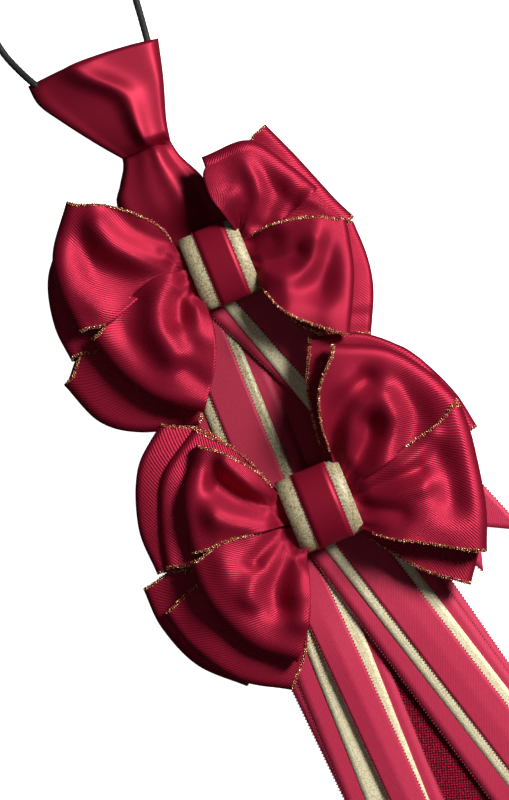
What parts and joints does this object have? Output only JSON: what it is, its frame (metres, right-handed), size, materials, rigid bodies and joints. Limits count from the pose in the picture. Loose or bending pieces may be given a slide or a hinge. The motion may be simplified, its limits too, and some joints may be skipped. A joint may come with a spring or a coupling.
{
  "type": "award ribbon rosette",
  "caption": "Pre-tied satin neck-tie ornament on an elastic cord, with layered ribbon bows and long streamers of satin and gold glitter ribbon.",
  "frame": {"origin": "on the resting surface, on the blade's back under the middle of the upper bow", "axes": "+Z out of the ornament's front, +Y along its length towards the knot, +X across it"},
  "size_m": [0.1541, 0.4767, 0.037],
  "materials": {
    "tie_satin": "glossy woven satin",
    "bow_satin": "glossy woven satin with a metallic thread edge",
    "streamer_satin": "satin with a picot selvedge",
    "gold_glitter_ribbon": "metallic glitter weave",
    "sewing_thread": "spun thread",
    "felt": "pressed felt",
    "elastic_cord": "braided round elastic",
    "foam_filling": "soft foam",
    "interlining": "woven interlining"
  },
  "bodies": {
    "tie": {"tie_knot": "tie_satin", "knot_core": "foam_filling", "cord_inside_knot": "elastic_cord", "tie_blade": "tie_satin", "blade_interlining": "interlining", "carrier_wide": "streamer_satin", "carrier_gold": "gold_glitter_ribbon", "carrier_narrow": "streamer_satin", "upper_shank": "sewing_thread", "lower_shank": "sewing_thread", "neck_cord_left": "elastic_cord", "neck_cord_right": "elastic_cord", "neck_cord_coil": "elastic_cord"},
    "upper_bow": {"upper_backing_pad": "felt", "upper_satin_band": "streamer_satin", "upper_gold_band": "gold_glitter_ribbon", "upper_binding_thread": "sewing_thread", "upper_back_loop_a": "bow_satin", "upper_back_loop_b": "bow_satin", "upper_front_loop_a": "bow_satin", "upper_front_loop_b": "bow_satin"},
    "lower_bow": {"lower_backing_pad": "felt", "lower_satin_band": "streamer_satin", "lower_gold_band": "gold_glitter_ribbon", "lower_binding_thread": "sewing_thread", "lower_back_loop_a": "bow_satin", "lower_back_loop_b": "bow_satin", "lower_middle_loop_a": "bow_satin", "lower_middle_loop_b": "bow_satin", "lower_front_loop_a": "bow_satin", "lower_front_loop_b": "bow_satin"},
    "side_tail": {"side_tail_wide": "streamer_satin", "side_tail_gold": "gold_glitter_ribbon", "side_tail_narrow": "streamer_satin"},
    "left_tail": {"left_tail_under": "streamer_satin", "left_tail_wide": "streamer_satin", "left_tail_gold": "gold_glitter_ribbon", "left_tail_narrow": "streamer_satin"},
    "inner_tail": {"inner_tail_ribbon": "streamer_satin"},
    "main_tail": {"main_tail_under": "streamer_satin", "main_tail_wide": "streamer_satin", "main_tail_gold": "gold_glitter_ribbon", "main_tail_narrow": "streamer_satin"}
  },
  "joints": [
    {"name": "upper_bow_swivel", "type": "hinge", "parent": "tie", "child": "upper_bow", "pos_m": [0, 0, 0.0068], "axis": [0, 0, 1], "range_deg": [-3, 3]},
    {"name": "lower_bow_swivel", "type": "hinge", "parent": "tie", "child": "lower_bow", "pos_m": [0, -0.1093, 0.0102], "axis": [0, 0, 1], "range_deg": [-3, 3]},
    {"name": "side_tail_swing", "type": "hinge", "parent": "tie", "child": "side_tail", "pos_m": [0, 0, 0.0049], "axis": [0, 0, 1], "range_deg": [-4, 4]},
    {"name": "left_tail_swing", "type": "hinge", "parent": "tie", "child": "left_tail", "pos_m": [0, -0.1093, 0.006], "axis": [0, 0, 1], "range_deg": [-4, 4]},
    {"name": "inner_tail_swing", "type": "hinge", "parent": "tie", "child": "inner_tail", "pos_m": [0, -0.1093, 0.0045], "axis": [0, 0, 1], "range_deg": [-4, 4]},
    {"name": "main_tail_swing", "type": "hinge", "parent": "tie", "child": "main_tail", "pos_m": [0, -0.1093, 0.0083], "axis": [0, 0, 1], "range_deg": [-4, 4]}
  ]
}
